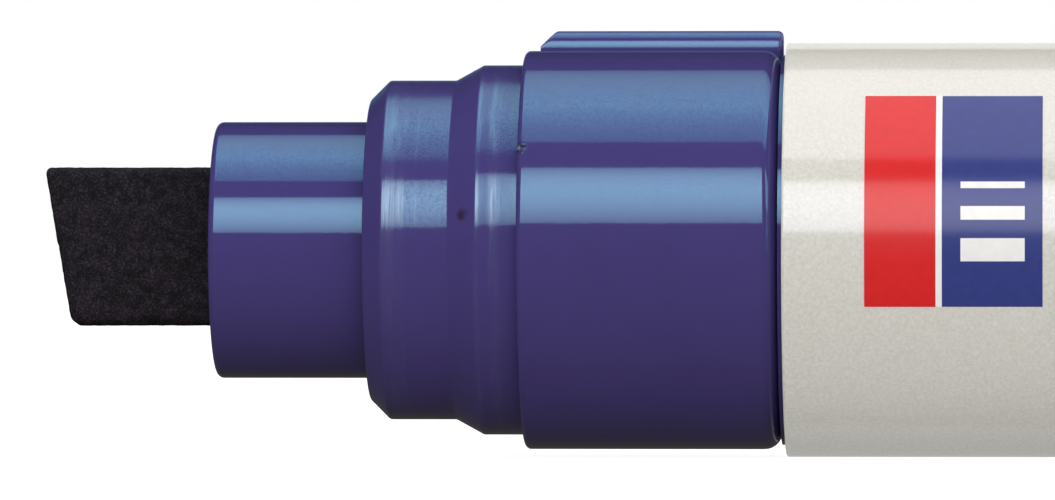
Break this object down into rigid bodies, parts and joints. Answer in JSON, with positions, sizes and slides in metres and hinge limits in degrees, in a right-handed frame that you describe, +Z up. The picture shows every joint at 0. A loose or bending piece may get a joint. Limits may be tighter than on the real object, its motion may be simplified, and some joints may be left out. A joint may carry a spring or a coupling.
{
  "type": "permanent marker",
  "caption": "Jumbo permanent marker with a slanted chisel felt nib, stepped cap seat, ribbed grip, round metal barrel and a pull-off cap posted on its tail.",
  "frame": {"origin": "middle of the overall length with the cap posted, on the marker's axis in plan, at the height of the surface the barrel lies on", "axes": "+X along the marker's axis from the nib towards the capped tail, +Y across, +Z up through the anti-roll rib"},
  "size_m": [0.1771, 0.03, 0.0308],
  "materials": {
    "blue_plastic": "glossy moulded plastic, scuffed on the cap seats",
    "nib_felt": "pressed felt soaked with ink",
    "barrel_metal": "satin lacquered, with a printed panel",
    "wadding": "fibre wadding soaked with ink",
    "film": "thin film",
    "liner_plastic": "natural polyethylene"
  },
  "bodies": {
    "body": {"front_section": "blue_plastic", "nib_collar": "blue_plastic", "barrel": "barrel_metal", "ink_reservoir": "wadding", "reservoir_wrap": "film", "tail_plug": "blue_plastic"},
    "nib": {"nib": "nib_felt"},
    "cap": {"cap_shell": "blue_plastic", "cap_liner": "liner_plastic"}
  },
  "joints": [
    {"name": "cap_pull", "type": "slide", "parent": "body", "child": "cap", "axis": [1, 0, 0], "range_m": [0, 0.03]},
    {"name": "nib_pull", "type": "slide", "parent": "body", "child": "nib", "axis": [-1, 0, 0], "range_m": [0, 0.036]}
  ]
}
